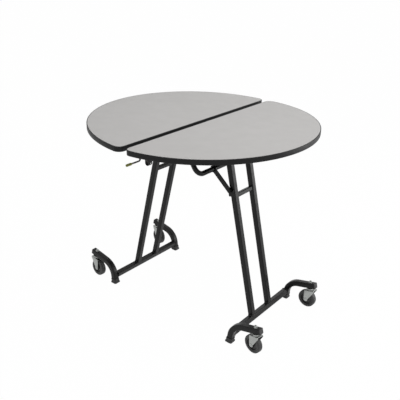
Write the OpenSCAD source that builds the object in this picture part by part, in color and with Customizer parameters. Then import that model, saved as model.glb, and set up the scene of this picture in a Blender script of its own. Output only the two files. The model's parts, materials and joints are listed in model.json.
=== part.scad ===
// Folding room service table: two half-round tops that fold up about a centre spine,
// each on its own leg frame with a knee brace, feet for use and casters for moving.
// X runs across the split, Y along it, Z up; the floor is z = 0.
// The right half (+X) is modelled; the left half is the same one turned half round.

/* [Table top] */
// Height of the top at the split
top_h = 762; // [700:1:800]
// Radius of each half's curved edge
top_r = 437; // [420:1:460]
// Distance from the table's centre to the centre of each half's curve
arc_shift = 9.5; // [0:0.5:20]
// Gap between the two straight edges
split_gap = 22; // [20:0.5:28]
// Thickness of the board
board_t = 17.6; // [14:0.1:19]
// Thickness of the laminate sheet on the board
laminate_t = 1.4; // [0.8:0.1:2]
// Thickness of the black edge band
band_t = 3; // [2:0.5:4]
// Radius of the corners where the straight edge meets the curve
corner_r = 25; // [10:1:40]
// Slope of each half, upwards to its outer edge
top_tilt = 1.07; // [0:0.01:2]

/* [Fold hinge] */
// Distance of each fold axis from the centre plane
fold_x = 42; // [40:0.5:46]
// Depth of the fold axes below the top at the split
fold_drop = 25; // [24.5:0.5:26]
// Radius of the hinge eyes
fold_eye_r = 5; // [4.5:0.1:5.2]
// Radius of the fold pins
fold_pin_r = 3; // [2:0.1:3.5]
// Radial clearance of every turning pin
pin_fit = 0.05; // [0.02:0.01:0.1]

/* [Centre spine] */
// Width of the spine tube
spine_w = 25; // [20:1:25]
// Height of the spine tube
spine_h = 22; // [18:1:26]
// Wall of the spine tube
spine_wall = 2; // [1.5:0.1:3]
// Depth of the spine's upper face below the top
spine_drop = 58; // [57:0.5:64]
// Half the length of the spine tube
spine_half = 298; // [250:1:330]
// Thickness of the hinge yokes
yoke_t = 8; // [5:0.5:10]
// Height of a yoke's level arm
yoke_h = 16; // [10:0.5:18]

/* [Leg frames] */
// Lean of the legs from the vertical
leg_tilt = 13.06; // [11:0.01:15]
// Distance of the foot tube's axis from the centre plane
foot_x = 317.9; // [300:0.1:330]
// Height of the foot tube's axis
foot_h = 37.2; // [34:0.1:42]
// Depth of the foot tube's middle below the point where the arms are measured
tube_drop = 3.5; // [0:0.5:5]
// Half the distance between the two foot arms
foot_y = 200.7; // [180:0.1:230]
// Distance of each leg from the middle of its frame
leg_y = 57.6; // [50:0.1:70]
// Width of the square leg tube
leg_w = 22; // [20:0.5:24]
// Wall of the steel tubes
tube_wall = 1.5; // [1:0.1:2]
// Corner radius of the square tubes
tube_r = 3; // [2:0.1:4]
// Depth of the leg pivot below the top
pivot_drop = 56; // [55:0.5:60]
// Radius of the leg pivot pins
leg_pin_r = 4; // [3:0.1:5]
// Length of leg past its pivot
leg_past = 15; // [12:0.5:18]
// Width of the rung
rung_w = 16; // [12:0.5:20]
// Depth of the rung below the top
rung_drop = 236; // [230:1:300]

/* [Foot arms] */
// Width of the arm tube
arm_w = 23; // [21:0.5:25]
// Wall of the arm tube
arm_wall = 2; // [1.5:0.1:3]
// Height of an arm's straight run over the foot tube, along the leg
arm_rise = 40; // [34:0.5:46]
// Lean of the foot stub from the leg
arm_lean = 21; // [16:0.5:24]
// Offset of the stub from the foot tube's axis
stub_off = 3.9; // [2:0.1:6]
// Bend radius of the arm, to its centreline
arm_bend_r = 65; // [50:1:70]
// Reach of the arm from the foot tube
arm_reach = 144.5; // [142:0.5:165]
// Thickness of the arm's end cap
cap_t = 3; // [2:0.5:5]
// Width of the rubber boot round the stub
boot_w = 27; // [26:0.5:30]
// Width of the boot's sole
sole_w = 31; // [28:0.5:36]
// Thickness of the boot's sole
sole_t = 5; // [3:0.5:6]
// Height of the boot
boot_h = 19; // [16:0.5:22]
// Height at which the stub tube ends inside the boot
stub_end = 4.5; // [4:0.5:6]

/* [Brace] */
// Distance of the brace bar from the centre plane
bar_x = 113; // [108:1:120]
// Depth of the brace bar below the top
bar_drop = 146; // [136:1:156]
// Radius of the brace bar tube
bar_r = 9.5; // [8:0.5:10]
// Bend radius of the brace bar, to its centreline
bar_bend_r = 30; // [25:1:55]
// Half the width of the brace bar, to its arms' centrelines
bar_half = 167; // [150:1:190]
// Depth of the brace pivot below the top
brace_drop = 33.2; // [33:0.1:34]
// Radius of the brace pivot pins
brace_pin_r = 4; // [3:0.1:5]
// Depth of the lug on the leg below the top
lug_drop = 211; // [205:1:235]
// Distance of the lug's centre from the leg's axis
lug_off = 9; // [6:0.5:20]
// Radius of the lug plate round its rivet
lug_r = 9; // [8:0.5:11]
// Thickness of the lug plate
lug_plate_t = 3; // [2:0.5:3.5]
// Reach of the lug plate in front of the leg's axis
lug_front = 17; // [12:0.5:20]
// Reach of the lug plate behind the leg's axis
lug_back = 8; // [4:0.5:10]
// Length of the lug plate below its rivet
lug_foot = 24; // [12:1:30]
// Thickness of the brace link
link_t = 5; // [4:0.5:6]
// Width of the brace link
link_w = 18; // [10:0.5:18]
// Radius of the link's eye at the lug
link_eye_r = 9.5; // [9:0.5:12]
// Radius of the rivet's head at the lug
rivet_r = 6.5; // [5:0.5:8]
// Thickness of the rivet's head
rivet_t = 2.5; // [1:0.5:4]
// Width of the ring round the brace bar
ring_w = 4.5; // [3:0.5:6]

/* [Under the top] */
// Thickness of the steel channels
channel_t = 2.5; // [2:0.1:3]
// Clearance between a leg and its channel
channel_gap = 1; // [0.5:0.1:2]
// Distance of the channel's outer end from the centre plane
channel_end = 330; // [250:1:360]
// Radius of the channel's nose round the leg pivot
nose_r = 14; // [10:0.5:16]
// Depth of the channel at its inner end
channel_root = 18; // [12:1:20]
// Depth of the channel behind its nose
channel_mid = 16; // [12:1:20]
// Distance behind the leg pivot where that depth is reached
channel_run = 35; // [25:1:50]
// Depth of the channel at its outer end
channel_tail = 8; // [5:1:12]
// Thickness of a channel's or clip's web
web_t = 3; // [2:0.1:3.5]
// Radius of the frame screws' shanks
screw_r = 2.2; // [1.5:0.1:3]
// Length of screw in the board
screw_in = 11; // [8:0.5:13]
// Radius of the frame screws' heads
screw_head_r = 4.4; // [3:0.1:5.5]
// Thickness of the frame screws' heads
screw_head_t = 1.4; // [0.8:0.1:2]

/* [Casters] */
// Wheel radius
wheel_r = 37.5; // [35:0.5:38]
// Wheel width
wheel_w = 22; // [18:0.5:26]
// Radius of the wheel's centre under the tread
hub_r = 28; // [22:0.5:30]
// Distance of the king pin from the foot tube, along the arm
king_v = 124; // [120:0.5:130]
// Trail of the wheel behind the king pin
trail = 25; // [22:0.5:30]
// Depth of the wheel's centre below the arm
wheel_drop = 62; // [61:0.5:66]
// Radius of the caster stem
stem_r = 4; // [3.5:0.5:6]
// Length of stem above the arm
stem_out = 9; // [7:0.5:14]
// Radius of the caster's nut, to its corners
nut_r = 7; // [6.5:0.5:9]
// Height of the caster's nut
nut_h = 5; // [3:0.5:6]
// Radius of the washer under the nut
washer_r = 8; // [7.5:0.5:11]
// Thickness of the washer
washer_t = 1; // [0.6:0.1:2]
// Radius of the race between the arm and the fork
race_r = 16; // [13:0.5:18]
// Height of the race
race_t = 8; // [6:0.5:10]
// Reach of the fork behind the king pin
fork_back = 17; // [12:0.5:20]
// Reach of the fork's crown in front of the king pin
fork_front = 26; // [18:0.5:30]
// Radius of the fork's cheeks round the axle
fork_foot_r = 9; // [8:0.5:12]
// Thickness of the fork's crown
crown_t = 4; // [3:0.5:5]
// Thickness of the fork's cheeks
fork_t = 2.5; // [2:0.1:4]
// Radius of the wheel axle
axle_r = 4; // [3:0.5:6]
// Radius of the axle's heads
axle_head_r = 6.5; // [6.5:0.5:8]
// Turn of the near and far casters of the right frame from straight inwards
right_turn = [-10, -1]; // [-180:1:180]
// Turn of the far and near casters of the left frame from straight inwards
left_turn = [-13, -5]; // [-180:1:180]

/* [Release lever] */
// Radius of the lever rod
rod_r = 3; // [2:0.1:3.3]
// Distance of the lever's tip from the table's centre
lever_tip = 411.5; // [380:0.5:425]
// Radius of the lever's grip
grip_r = 4.6; // [3.8:0.1:6]
// Length of the lever's grip
grip_len = 20.5; // [12:0.5:40]
// Depth of the lever's pivot below the top
lever_drop = 86; // [84:1:90]
// Depth of the lever's crest below the top
crest_drop = 46; // [44:1:50]
// Depth of the lever's grip below the top
grip_drop = 67; // [60:1:70]
// Distances of the lever's three bends from its pivot
lever_bends = [24, 29, 45]; // [20:1:60]
// Radius of the lever's eye
lever_eye_r = 6; // [5.5:0.1:6.5]
// Radius of the lever's pin
lever_pin_r = 2.5; // [2:0.1:3]
// Radius of the latch rod
latch_r = 4; // [3:0.1:5]
// Radius of the lever's bracket
bracket_r = 10; // [9:0.5:12]
// Length of the lever's bracket, from the spine's end
bracket_len = 16; // [15.5:0.5:22]
// Distance of the lever's pin from the spine's end
pin_out = 9; // [8.8:0.1:12]

/* [Hidden] */
$fn = 48;

frame_black = "#3c3d40";
rubber_black = "#26272a";
laminate_grey = "#d9dad9";
zinc = "#c3c7ca";

// Points in the XZ plane are [x, z]. turned() turns one anticlockwise about the origin.
function turned(p, a) = [p[0] * cos(a) - p[1] * sin(a), p[0] * sin(a) + p[1] * cos(a)];

// The half top lies level in its own frame, which is tilted about the fold axis.
fold = [fold_x, top_h - fold_drop];
edge_x = split_gap / 2;
top_t = board_t + laminate_t;
top_z = top_h + (fold_x - edge_x) * sin(top_tilt);
under_z = top_z - top_t;
function to_half(p) = fold + turned(p - fold, -top_tilt);

// Leg frame: the leg axis runs from the foot tube up to the pivot.
leg_axis = [-sin(leg_tilt), cos(leg_tilt)];
foot = [foot_x, foot_h];
function on_leg(h) = foot + leg_axis * (h - foot_h) / cos(leg_tilt);
function along_leg_at(h) = (h - foot_h) / cos(leg_tilt);
pivot = on_leg(top_h - pivot_drop);
pivot_u = along_leg_at(top_h - pivot_drop);
rung_u = along_leg_at(top_h - rung_drop);

leg_start = leg_w / 2 - tube_drop;

// Knee brace: lug on the leg, bar below the top, pivot under the top. The pivot stands
// where the bar folds flat under the top when the leg lies along it.
lug = on_leg(top_h - lug_drop) - lug_off * [cos(leg_tilt), sin(leg_tilt)];
lug_u = along_leg_at(top_h - lug_drop);
bar = [bar_x, top_h - bar_drop];
link_len = norm(lug - bar);
brace_z = top_z - brace_drop;
bar_half_frame = to_half(bar);
leg_fold = 90 + leg_tilt - top_tilt;
folded_lug = to_half(pivot) + turned(to_half(lug) - to_half(pivot), -leg_fold);
folded_bar_x = folded_lug[0] - sqrt(link_len * link_len - pow(brace_z - folded_lug[1], 2));
brace_x = (pow(bar_half_frame[0], 2) + pow(bar_half_frame[1] - brace_z, 2)
    - folded_bar_x * folded_bar_x) / (2 * (bar_half_frame[0] - folded_bar_x));
brace = fold + turned([brace_x, brace_z] - fold, top_tilt);
brace_len = norm(bar - brace);
brace_lean = atan2(bar[0] - brace[0], brace[1] - bar[1]);

// Foot arm: stub up from the boot, bend, then a straight run square to the leg.
stub_u = arm_rise - arm_bend_r * (1 - sin(arm_lean));
stub_v = stub_off + tan(arm_lean) * stub_u;
run_v = stub_v + arm_bend_r * cos(arm_lean);
stub_lean = arm_lean - leg_tilt;
// The straight runs lap into the bend, a hair thinner than its wall.
arm_lap = 1;
arm_step = 0.1;
stub_top = foot + turned([stub_v, stub_u], leg_tilt);
stub_len = (stub_top[1] - stub_end) / cos(stub_lean);
sole_x = stub_top[0] - stub_top[1] * tan(stub_lean);

ear_in = leg_w / 2 + channel_gap;
ear_out = ear_in + channel_t;
channel_start = fold_x + fold_eye_r + 5;
clip_half = 9;
clip_in = bar_r + 0.7;
link_gap = 0.3;
link_far = leg_y + ear_out + link_gap;
spine_top = top_h - spine_drop;
spine_mid = spine_top - spine_h / 2;
race_gap = 0.3;
king_head_t = 2.6;
king_head_over = 3;
fork_gap = 1.6;
fork_in = wheel_w / 2 + fork_gap;
axle_head_t = 2.6;
fork_crown = -arm_w / 2 - race_t - race_gap;
lever_y = -(spine_half + pin_out);
lever_z = top_h - lever_drop;
slot_half = rod_r + 0.6;
slot_end = 2;
slot_floor = 9;
crest_z = top_h - crest_drop;
grip_z = top_h - grip_drop;
leg_pin_head = [2.5, 2.2];
brace_pin_head = [2, 2];
fold_pin_head = [1.3, 1.6];
// Length of a cut that passes right through the piece it is made in.
through = 100;

module other_side() {
    rotate([0, 0, 180]) children();
}

module half_frame() {
    translate([fold[0], 0, fold[1]]) rotate([0, -top_tilt, 0])
        translate([-fold[0], 0, -fold[1]]) children();
}

module leg_frame() {
    translate([foot[0], 0, foot[1]]) rotate([0, -leg_tilt, 0]) children();
}

// A plate from y0 to y0 + t whose outline is drawn as [x, z].
module plate_y(y0, t) {
    translate([0, y0 + t, 0]) rotate([90, 0, 0]) linear_extrude(t) children();
}

// A round bar along Y, from y0 to y1.
module rod_y(p, r, y0, y1) {
    translate([p[0], y1, p[1]]) rotate([90, 0, 0]) cylinder(r = r, h = y1 - y0);
}

module rounded_square(w, r) {
    square([w - 2 * r, w], center = true);
    square([w, w - 2 * r], center = true);
    for (x = [-1, 1], y = [-1, 1])
        translate([x * (w / 2 - r), y * (w / 2 - r)]) circle(r);
}

module square_tube(w, wall) {
    difference() {
        rounded_square(w, tube_r);
        rounded_square(w - 2 * wall, tube_r - wall * 0.6);
    }
}

module bar_ring() {
    difference() {
        circle(bar_r);
        circle(bar_r - tube_wall);
    }
}

// Half-round outline with rounded corners, drawn in by inset.
module half_round(inset) {
    r = top_r - inset;
    x0 = edge_x + inset;
    rc = corner_r - inset;
    fillet = [x0 + rc, sqrt(pow(r - rc, 2) - pow(x0 + rc - arc_shift, 2))];
    out = (fillet - [arc_shift, 0]) / (r - rc);
    difference() {
        intersection() {
            translate([arc_shift, 0]) circle(r, $fn = 180);
            translate([x0, -r]) square([arc_shift + r, 2 * r]);
        }
        for (s = [0, 1]) mirror([0, s]) difference() {
            polygon([fillet, [x0 - 1, fillet[1]], [x0 - 1, r + 1], fillet + out * 2 * rc]);
            translate(fillet) circle(rc);
        }
    }
}

module screw_spots() {
    near = channel_start + 18;
    far = channel_end - 14;
    for (y = [-leg_y, leg_y], x = [near, (near + far) / 2 + 18, far])
        translate([x, y, 0]) children();
    for (y = [-bar_half, bar_half]) translate([brace_x, y, 0]) children();
}

module top_board() {
    color(laminate_grey) half_frame() difference() {
        translate([0, 0, under_z]) linear_extrude(board_t) half_round(band_t);
        screw_spots() translate([0, 0, under_z - 1]) cylinder(r = screw_r, h = screw_in + 1);
    }
}

module top_laminate() {
    color(laminate_grey) half_frame()
        translate([0, 0, top_z - laminate_t]) linear_extrude(laminate_t) half_round(band_t);
}

module edge_band() {
    color(rubber_black) half_frame() translate([0, 0, under_z]) linear_extrude(top_t)
        difference() {
            half_round(0);
            half_round(band_t);
        }
}

// Side of a channel: an eye on the fold axis, a nose round the leg pivot, a tapering tail.
module channel_side() {
    p = to_half(pivot);
    difference() {
        union() {
            translate(fold) circle(fold_eye_r);
            translate(p) circle(nose_r);
            polygon([[fold[0], fold[1] - fold_eye_r], [fold[0], fold[1] + fold_eye_r],
                [channel_start, under_z], [channel_end, under_z],
                [channel_end, under_z - channel_tail],
                [p[0] + channel_run, under_z - channel_mid], p + turned([nose_r, 0], 15),
                p, p + turned([nose_r, 0], 180), [channel_start + nose_r, under_z - channel_root]]);
        }
        translate(fold) circle(fold_pin_r + pin_fit);
        translate(p) circle(leg_pin_r + pin_fit);
    }
}

module channels() {
    color(frame_black) half_frame() for (y = [-leg_y, leg_y]) translate([0, y, 0]) {
        difference() {
            union() {
                plate_y(-ear_out, channel_t) channel_side();
                plate_y(ear_in, channel_t) channel_side();
                translate([channel_start, -ear_out, under_z - web_t])
                    cube([channel_end - channel_start, 2 * ear_out, web_t]);
            }
            translate([0, -y, 0]) screw_spots()
                translate([0, 0, under_z - web_t - 1]) cylinder(r = screw_r, h = web_t + 2);
        }
    }
}

module brace_clips() {
    color(frame_black) half_frame() for (y = [-bar_half, bar_half]) translate([0, y, 0])
        difference() {
            union() {
                for (y0 = [-clip_in - channel_t, clip_in]) plate_y(y0, channel_t) {
                    translate([brace_x, brace_z]) circle(clip_half);
                    translate([brace_x - clip_half, brace_z])
                        square([2 * clip_half, under_z - brace_z]);
                }
                translate([brace_x - clip_half, -clip_in - channel_t, under_z - web_t])
                    cube([2 * clip_half, 2 * (clip_in + channel_t), web_t]);
            }
            rod_y([brace_x, brace_z], brace_pin_r + pin_fit, -through, through);
            translate([brace_x, 0, under_z - web_t - 1]) cylinder(r = screw_r, h = web_t + 2);
        }
}

// Headed pin along Y through a pair of ears that reach from the middle to half_len.
// A head is [how far it stands out round the pin, its thickness].
module headed_pin(p, r, half_len, head) {
    rod_y(p, r, -half_len - head[1], half_len + head[1]);
    for (y = [-half_len - head[1], half_len + 0.1]) rod_y(p, r + head[0], y, y + head[1] - 0.1);
}

module pivot_pins() {
    color(zinc) half_frame() {
        for (y = [-leg_y, leg_y]) translate([0, y, 0])
            headed_pin(to_half(pivot), leg_pin_r, ear_out, leg_pin_head);
        for (y = [-bar_half, bar_half]) translate([0, y, 0])
            headed_pin([brace_x, brace_z], brace_pin_r, clip_in + channel_t, brace_pin_head);
    }
}

module frame_screws() {
    color(zinc) half_frame() screw_spots() {
        translate([0, 0, under_z - web_t]) cylinder(r = screw_r, h = web_t + screw_in - 0.5);
        translate([0, 0, under_z - web_t - screw_head_t]) cylinder(r = screw_head_r, h = screw_head_t);
    }
}

module legs() {
    color(frame_black) leg_frame() for (y = [-leg_y, leg_y]) difference() {
        translate([0, y, leg_start]) linear_extrude(pivot_u + leg_past - leg_start)
            square_tube(leg_w, tube_wall);
        rod_y([0, pivot_u], leg_pin_r + pin_fit, y - leg_w, y + leg_w);
    }
}

module rung() {
    span = leg_y - leg_w / 2;
    color(frame_black) leg_frame() translate([0, span, rung_u]) rotate([90, 0, 0])
        linear_extrude(2 * span) square_tube(rung_w, tube_wall);
}

module foot_tube() {
    span = foot_y - arm_w / 2;
    color(frame_black) leg_frame() translate([0, span, -tube_drop]) rotate([90, 0, 0])
        linear_extrude(2 * span) square_tube(leg_w, tube_wall);
}

module foot_arms() {
    color(frame_black) leg_frame() for (y = [-foot_y, foot_y]) translate([0, y, 0])
        difference() {
            union() {
                translate([stub_v, 0, stub_u]) rotate([0, arm_lean, 0])
                    translate([0, 0, -stub_len]) linear_extrude(stub_len + arm_lap)
                        square_tube(arm_w - arm_step, arm_wall - arm_step);
                translate([run_v, 0, arm_rise - arm_bend_r]) rotate([90, 0, 0]) rotate([0, 0, 90])
                    rotate_extrude(angle = 90 - arm_lean)
                        translate([arm_bend_r, 0]) square_tube(arm_w, arm_wall);
                translate([run_v - arm_lap, 0, arm_rise]) rotate([0, 90, 0])
                    linear_extrude(arm_reach - run_v + arm_lap)
                        square_tube(arm_w - arm_step, arm_wall - arm_step);
            }
            translate([king_v, 0, 0]) cylinder(r = stem_r + pin_fit, h = 2 * arm_rise);
        }
}

module arm_caps() {
    color(rubber_black) leg_frame() for (y = [-foot_y, foot_y])
        translate([arm_reach, y, arm_rise]) rotate([0, 90, 0])
            linear_extrude(cap_t) rounded_square(arm_w, tube_r);
}

module boots() {
    color(rubber_black) for (y = [-foot_y, foot_y]) difference() {
        union() {
            translate([sole_x, y, 0]) linear_extrude(sole_t) rounded_square(sole_w, 2 * tube_r);
            translate([sole_x, y, 0]) rotate([0, stub_lean, 0]) translate([0, 0, stub_end - 0.5])
                linear_extrude(boot_h - stub_end) rounded_square(boot_w, tube_r + 1);
        }
        translate([sole_x, y, 0]) rotate([0, stub_lean, 0])
            translate([0, 0, stub_end / cos(stub_lean)]) linear_extrude(boot_h)
                rounded_square(arm_w, tube_r);
    }
}

module link_lug() {
    color(frame_black) leg_frame() plate_y(-leg_y - leg_w / 2 - lug_plate_t, lug_plate_t) {
        translate([-lug_off, lug_u]) circle(lug_r);
        translate([-lug_front, lug_u - lug_foot]) square([lug_front + lug_back, lug_foot]);
    }
}

module caster_places() {
    for (i = [0, 1]) leg_frame() translate([king_v, (2 * i - 1) * foot_y, arm_rise]) children();
}

module caster_stems() {
    king_low = fork_crown - crown_t - race_gap - king_head_t;
    color(zinc) caster_places() {
        translate([0, 0, -arm_w / 2 - race_t]) cylinder(r = race_r, h = race_t);
        translate([0, 0, king_low]) cylinder(r = stem_r, h = arm_w / 2 + stem_out - king_low);
        translate([0, 0, king_low]) cylinder(r = stem_r + king_head_over, h = king_head_t);
    }
}

module caster_nuts() {
    color(zinc) caster_places() translate([0, 0, arm_w / 2]) difference() {
        union() {
            cylinder(r = washer_r, h = washer_t);
            translate([0, 0, washer_t]) cylinder(r = nut_r, h = nut_h, $fn = 6);
        }
        translate([0, 0, -1]) cylinder(r = stem_r + pin_fit, h = washer_t + nut_h + 2);
    }
}

// The brace bar is a round tube bent to a U, with a flattened eye at each end.
module brace_bar() {
    color(frame_black) translate([bar[0], 0, bar[1]]) rotate([0, -brace_lean, 0]) difference() {
        union() {
            translate([0, bar_half - bar_bend_r, 0]) rotate([90, 0, 0])
                linear_extrude(2 * (bar_half - bar_bend_r)) bar_ring();
            for (s = [0, 1]) mirror([0, s, 0]) {
                translate([0, bar_half - bar_bend_r, bar_bend_r]) rotate([0, 90, 0])
                    rotate_extrude(angle = 90) translate([bar_bend_r, 0]) bar_ring();
                translate([0, bar_half, bar_bend_r]) linear_extrude(brace_len - bar_bend_r) bar_ring();
                rod_y([0, brace_len], bar_r, bar_half - bar_r, bar_half + bar_r);
            }
        }
        for (y = [-bar_half, bar_half])
            rod_y([0, brace_len], brace_pin_r + pin_fit, y - 2 * bar_r, y + 2 * bar_r);
    }
}

module brace_link() {
    turn = atan2(lug[1] - bar[1], lug[0] - bar[0]);
    color(frame_black) {
        plate_y(-link_far - link_t, link_t) translate(bar) rotate(turn) difference() {
            union() {
                circle(bar_r + ring_w);
                translate([link_len, 0]) circle(link_eye_r);
                translate([0, -link_w / 2]) square([link_len, link_w]);
            }
            circle(bar_r + pin_fit);
        }
        rod_y(lug, rivet_r, -link_far - link_t - rivet_t, -link_far - link_t);
    }
}

// A caster stands on its king pin; its wheel trails along +X before it is turned.
module caster_at(i, turn) {
    leg_frame() translate([king_v, (2 * i - 1) * foot_y, arm_rise])
        rotate([0, 0, 180 + turn]) children();
}

module fork() {
    side = fork_in + fork_t;
    color(zinc) difference() {
        union() {
            translate([-fork_back, -side, fork_crown - crown_t])
                cube([fork_back + fork_front, 2 * side, crown_t]);
            for (y = [-side, fork_in]) plate_y(y, fork_t) {
                translate([trail, -wheel_drop]) circle(fork_foot_r);
                polygon([[-fork_back, fork_crown], [fork_front, fork_crown],
                    [trail + fork_foot_r, -wheel_drop], [trail, -wheel_drop],
                    [trail - fork_foot_r, -wheel_drop], [-fork_back, fork_crown - 2 * crown_t]]);
            }
        }
        translate([0, 0, fork_crown - 2 * crown_t]) cylinder(r = stem_r + pin_fit, h = 3 * crown_t);
        rod_y([trail, -wheel_drop], axle_r + pin_fit, -through, through);
    }
}

module axle() {
    out = fork_in + fork_t;
    color(zinc) {
        rod_y([trail, -wheel_drop], axle_r, -out - axle_head_t, out + axle_head_t);
        for (y = [-out - axle_head_t, out])
            rod_y([trail, -wheel_drop], axle_head_r, y, y + axle_head_t);
    }
}

module wheel_place() {
    translate([trail, 0, -wheel_drop]) rotate([90, 0, 0]) children();
}

module tyre() {
    lip = 3;
    color("#55575a") wheel_place() rotate_extrude() difference() {
        union() {
            translate([hub_r, -wheel_w / 2]) square([wheel_r - hub_r - lip, wheel_w]);
            translate([wheel_r - lip - 0.01, -wheel_w / 2 + lip])
                square([lip + 0.01, wheel_w - 2 * lip]);
            for (y = [-1, 1]) translate([wheel_r - lip, y * (wheel_w / 2 - lip)]) circle(lip);
        }
        translate([0, -wheel_w]) square([hub_r, 2 * wheel_w]);
    }
}

module hub() {
    boss = fork_in - 0.4;
    bore = axle_r + pin_fit;
    boss_t = 6;
    web = 8;
    rim_t = 5;
    color("#6f7275") wheel_place() rotate_extrude() {
        translate([bore, -boss]) square([boss_t, 2 * boss]);
        translate([bore, -web / 2]) square([hub_r - bore, web]);
        translate([hub_r - rim_t, -wheel_w / 2 + 1]) square([rim_t, wheel_w - 2]);
    }
}

module centre_spine() {
    color(frame_black) translate([0, spine_half, spine_mid]) rotate([90, 0, 0])
        linear_extrude(2 * spine_half) difference() {
            square([spine_w, spine_h], center = true);
            square([spine_w - 2 * spine_wall, spine_h - 2 * spine_wall], center = true);
        }
}

// Each yoke reaches out below the swinging edges, then up to the fold axis.
module hinge_yokes() {
    arm = fold_eye_r;
    color(frame_black) for (a = [0, 180], y = [-leg_y, leg_y]) rotate([0, 0, a])
        plate_y(y - yoke_t / 2, yoke_t) difference() {
            union() {
                translate([spine_w / 2, spine_mid - yoke_h / 2])
                    square([fold_x + arm - spine_w / 2, yoke_h]);
                translate([fold_x - arm + 0.5, spine_mid - yoke_h / 2])
                    square([2 * arm - 0.5, fold[1] - spine_mid + yoke_h / 2]);
                translate(fold) circle(fold_eye_r);
            }
            translate(fold) circle(fold_pin_r + pin_fit);
        }
}

module fold_pins() {
    color(zinc) for (a = [0, 180], y = [-leg_y, leg_y]) rotate([0, 0, a])
        translate([0, y, 0]) headed_pin(fold, fold_pin_r, ear_out, fold_pin_head);
}

// Pin or bore along X on the lever's pivot, from the centre plane to half_len either way.
module lever_cross(r, half_len) {
    translate([-half_len, lever_y, lever_z]) rotate([0, 90, 0]) cylinder(r = r, h = 2 * half_len);
}

// Rounded block on the spine's near end, slotted for the lever.
module lever_bracket() {
    y0 = -spine_half - bracket_len;
    color(frame_black) difference() {
        union() {
            rod_y([0, lever_z], bracket_r, y0, -spine_half);
            translate([-bracket_r, y0, lever_z])
                cube([2 * bracket_r, bracket_len, spine_top - lever_z]);
        }
        translate([-slot_half, y0 - 1, lever_z - slot_floor])
            cube([2 * slot_half, bracket_len - slot_end + 1, through]);
        lever_cross(lever_pin_r + pin_fit, through);
        rod_y([0, spine_mid], latch_r + 2 * pin_fit, y0 - 5, 0);
    }
}

module lever_pin() {
    color(zinc) lever_cross(lever_pin_r, bracket_r + 1);
}

// A round rod bent along a path of [y, z] points in the centre plane.
module bent_rod(path, r) {
    for (i = [0:len(path) - 2]) {
        d = path[i + 1] - path[i];
        translate([0, path[i][0], path[i][1]]) rotate([-atan2(d[0], d[1]), 0, 0])
            cylinder(r = r, h = norm(d));
        // The ball in a bend stands a little proud, so that the two runs meet inside it.
        if (i > 0) translate([0, path[i][0], path[i][1]]) sphere(r * 1.12);
    }
}

// Lever rod: up from its pivot, out under the split, with a low straight grip end.
module release_lever() {
    path = [[lever_y, lever_z], [lever_y - lever_bends[0], crest_z],
        [lever_y - lever_bends[1], crest_z], [lever_y - lever_bends[2], grip_z],
        [-lever_tip + 1, grip_z]];
    color("#77797c") difference() {
        union() {
            bent_rod(path, rod_r);
            lever_cross(lever_eye_r, rod_r + 0.2);
        }
        lever_cross(lever_pin_r + pin_fit, through);
    }
}

module lever_grip() {
    color("#a8ad3a") difference() {
        union() {
            rod_y([0, grip_z], grip_r, -lever_tip, -lever_tip + grip_len);
            translate([0, -lever_tip, grip_z]) sphere(grip_r);
        }
        rod_y([0, grip_z], rod_r, -lever_tip + 1, -lever_tip + 2 * grip_len);
    }
}

module latch_rod() {
    color(zinc) rod_y([0, spine_mid], latch_r, lever_y - 4, -leg_y);
}

top_board();  // right_top_board
other_side() top_board();  // left_top_board
top_laminate();  // right_top_laminate
other_side() top_laminate();  // left_top_laminate
edge_band();  // right_edge_band
other_side() edge_band();  // left_edge_band
channels();  // right_channels
other_side() channels();  // left_channels
brace_clips();  // right_brace_clips
other_side() brace_clips();  // left_brace_clips
pivot_pins();  // right_pivot_pins
other_side() pivot_pins();  // left_pivot_pins
frame_screws();  // right_frame_screws
other_side() frame_screws();  // left_frame_screws
centre_spine();
hinge_yokes();
fold_pins();
lever_bracket();
lever_pin();
release_lever();
lever_grip();
latch_rod();
legs();  // right_legs
other_side() legs();  // left_legs
rung();  // right_rung
other_side() rung();  // left_rung
foot_tube();  // right_foot_tube
other_side() foot_tube();  // left_foot_tube
foot_arms();  // right_foot_arms
other_side() foot_arms();  // left_foot_arms
arm_caps();  // right_arm_caps
other_side() arm_caps();  // left_arm_caps
boots();  // right_boots
other_side() boots();  // left_boots
link_lug();  // right_link_lug
other_side() link_lug();  // left_link_lug
caster_stems();  // right_caster_stems
other_side() caster_stems();  // left_caster_stems
caster_nuts();  // right_caster_nuts
other_side() caster_nuts();  // left_caster_nuts
brace_bar();  // right_brace_bar
other_side() brace_bar();  // left_brace_bar
brace_link();  // right_brace_link
other_side() brace_link();  // left_brace_link
caster_at(0, right_turn[0]) fork();  // near_right_fork
caster_at(0, right_turn[0]) axle();  // near_right_axle
caster_at(0, right_turn[0]) tyre();  // near_right_tyre
caster_at(0, right_turn[0]) hub();  // near_right_hub
caster_at(1, right_turn[1]) fork();  // far_right_fork
caster_at(1, right_turn[1]) axle();  // far_right_axle
caster_at(1, right_turn[1]) tyre();  // far_right_tyre
caster_at(1, right_turn[1]) hub();  // far_right_hub
other_side() caster_at(1, left_turn[1]) fork();  // near_left_fork
other_side() caster_at(1, left_turn[1]) axle();  // near_left_axle
other_side() caster_at(1, left_turn[1]) tyre();  // near_left_tyre
other_side() caster_at(1, left_turn[1]) hub();  // near_left_hub
other_side() caster_at(0, left_turn[0]) fork();  // far_left_fork
other_side() caster_at(0, left_turn[0]) axle();  // far_left_axle
other_side() caster_at(0, left_turn[0]) tyre();  // far_left_tyre
other_side() caster_at(0, left_turn[0]) hub();  // far_left_hub
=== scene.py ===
"""Looks for the folding room service table: two half-round tops on splayed, castered leg frames.

Everything is in metres in the table's own frame: X runs across the split, Y along it and
Z up, with the floor at z = 0. The left half is the right one turned half round.
"""

import json
import math

import bmesh
import bpy
from bpy.props import FloatProperty, FloatVectorProperty, PointerProperty
from mathutils import Matrix, Vector


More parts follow.
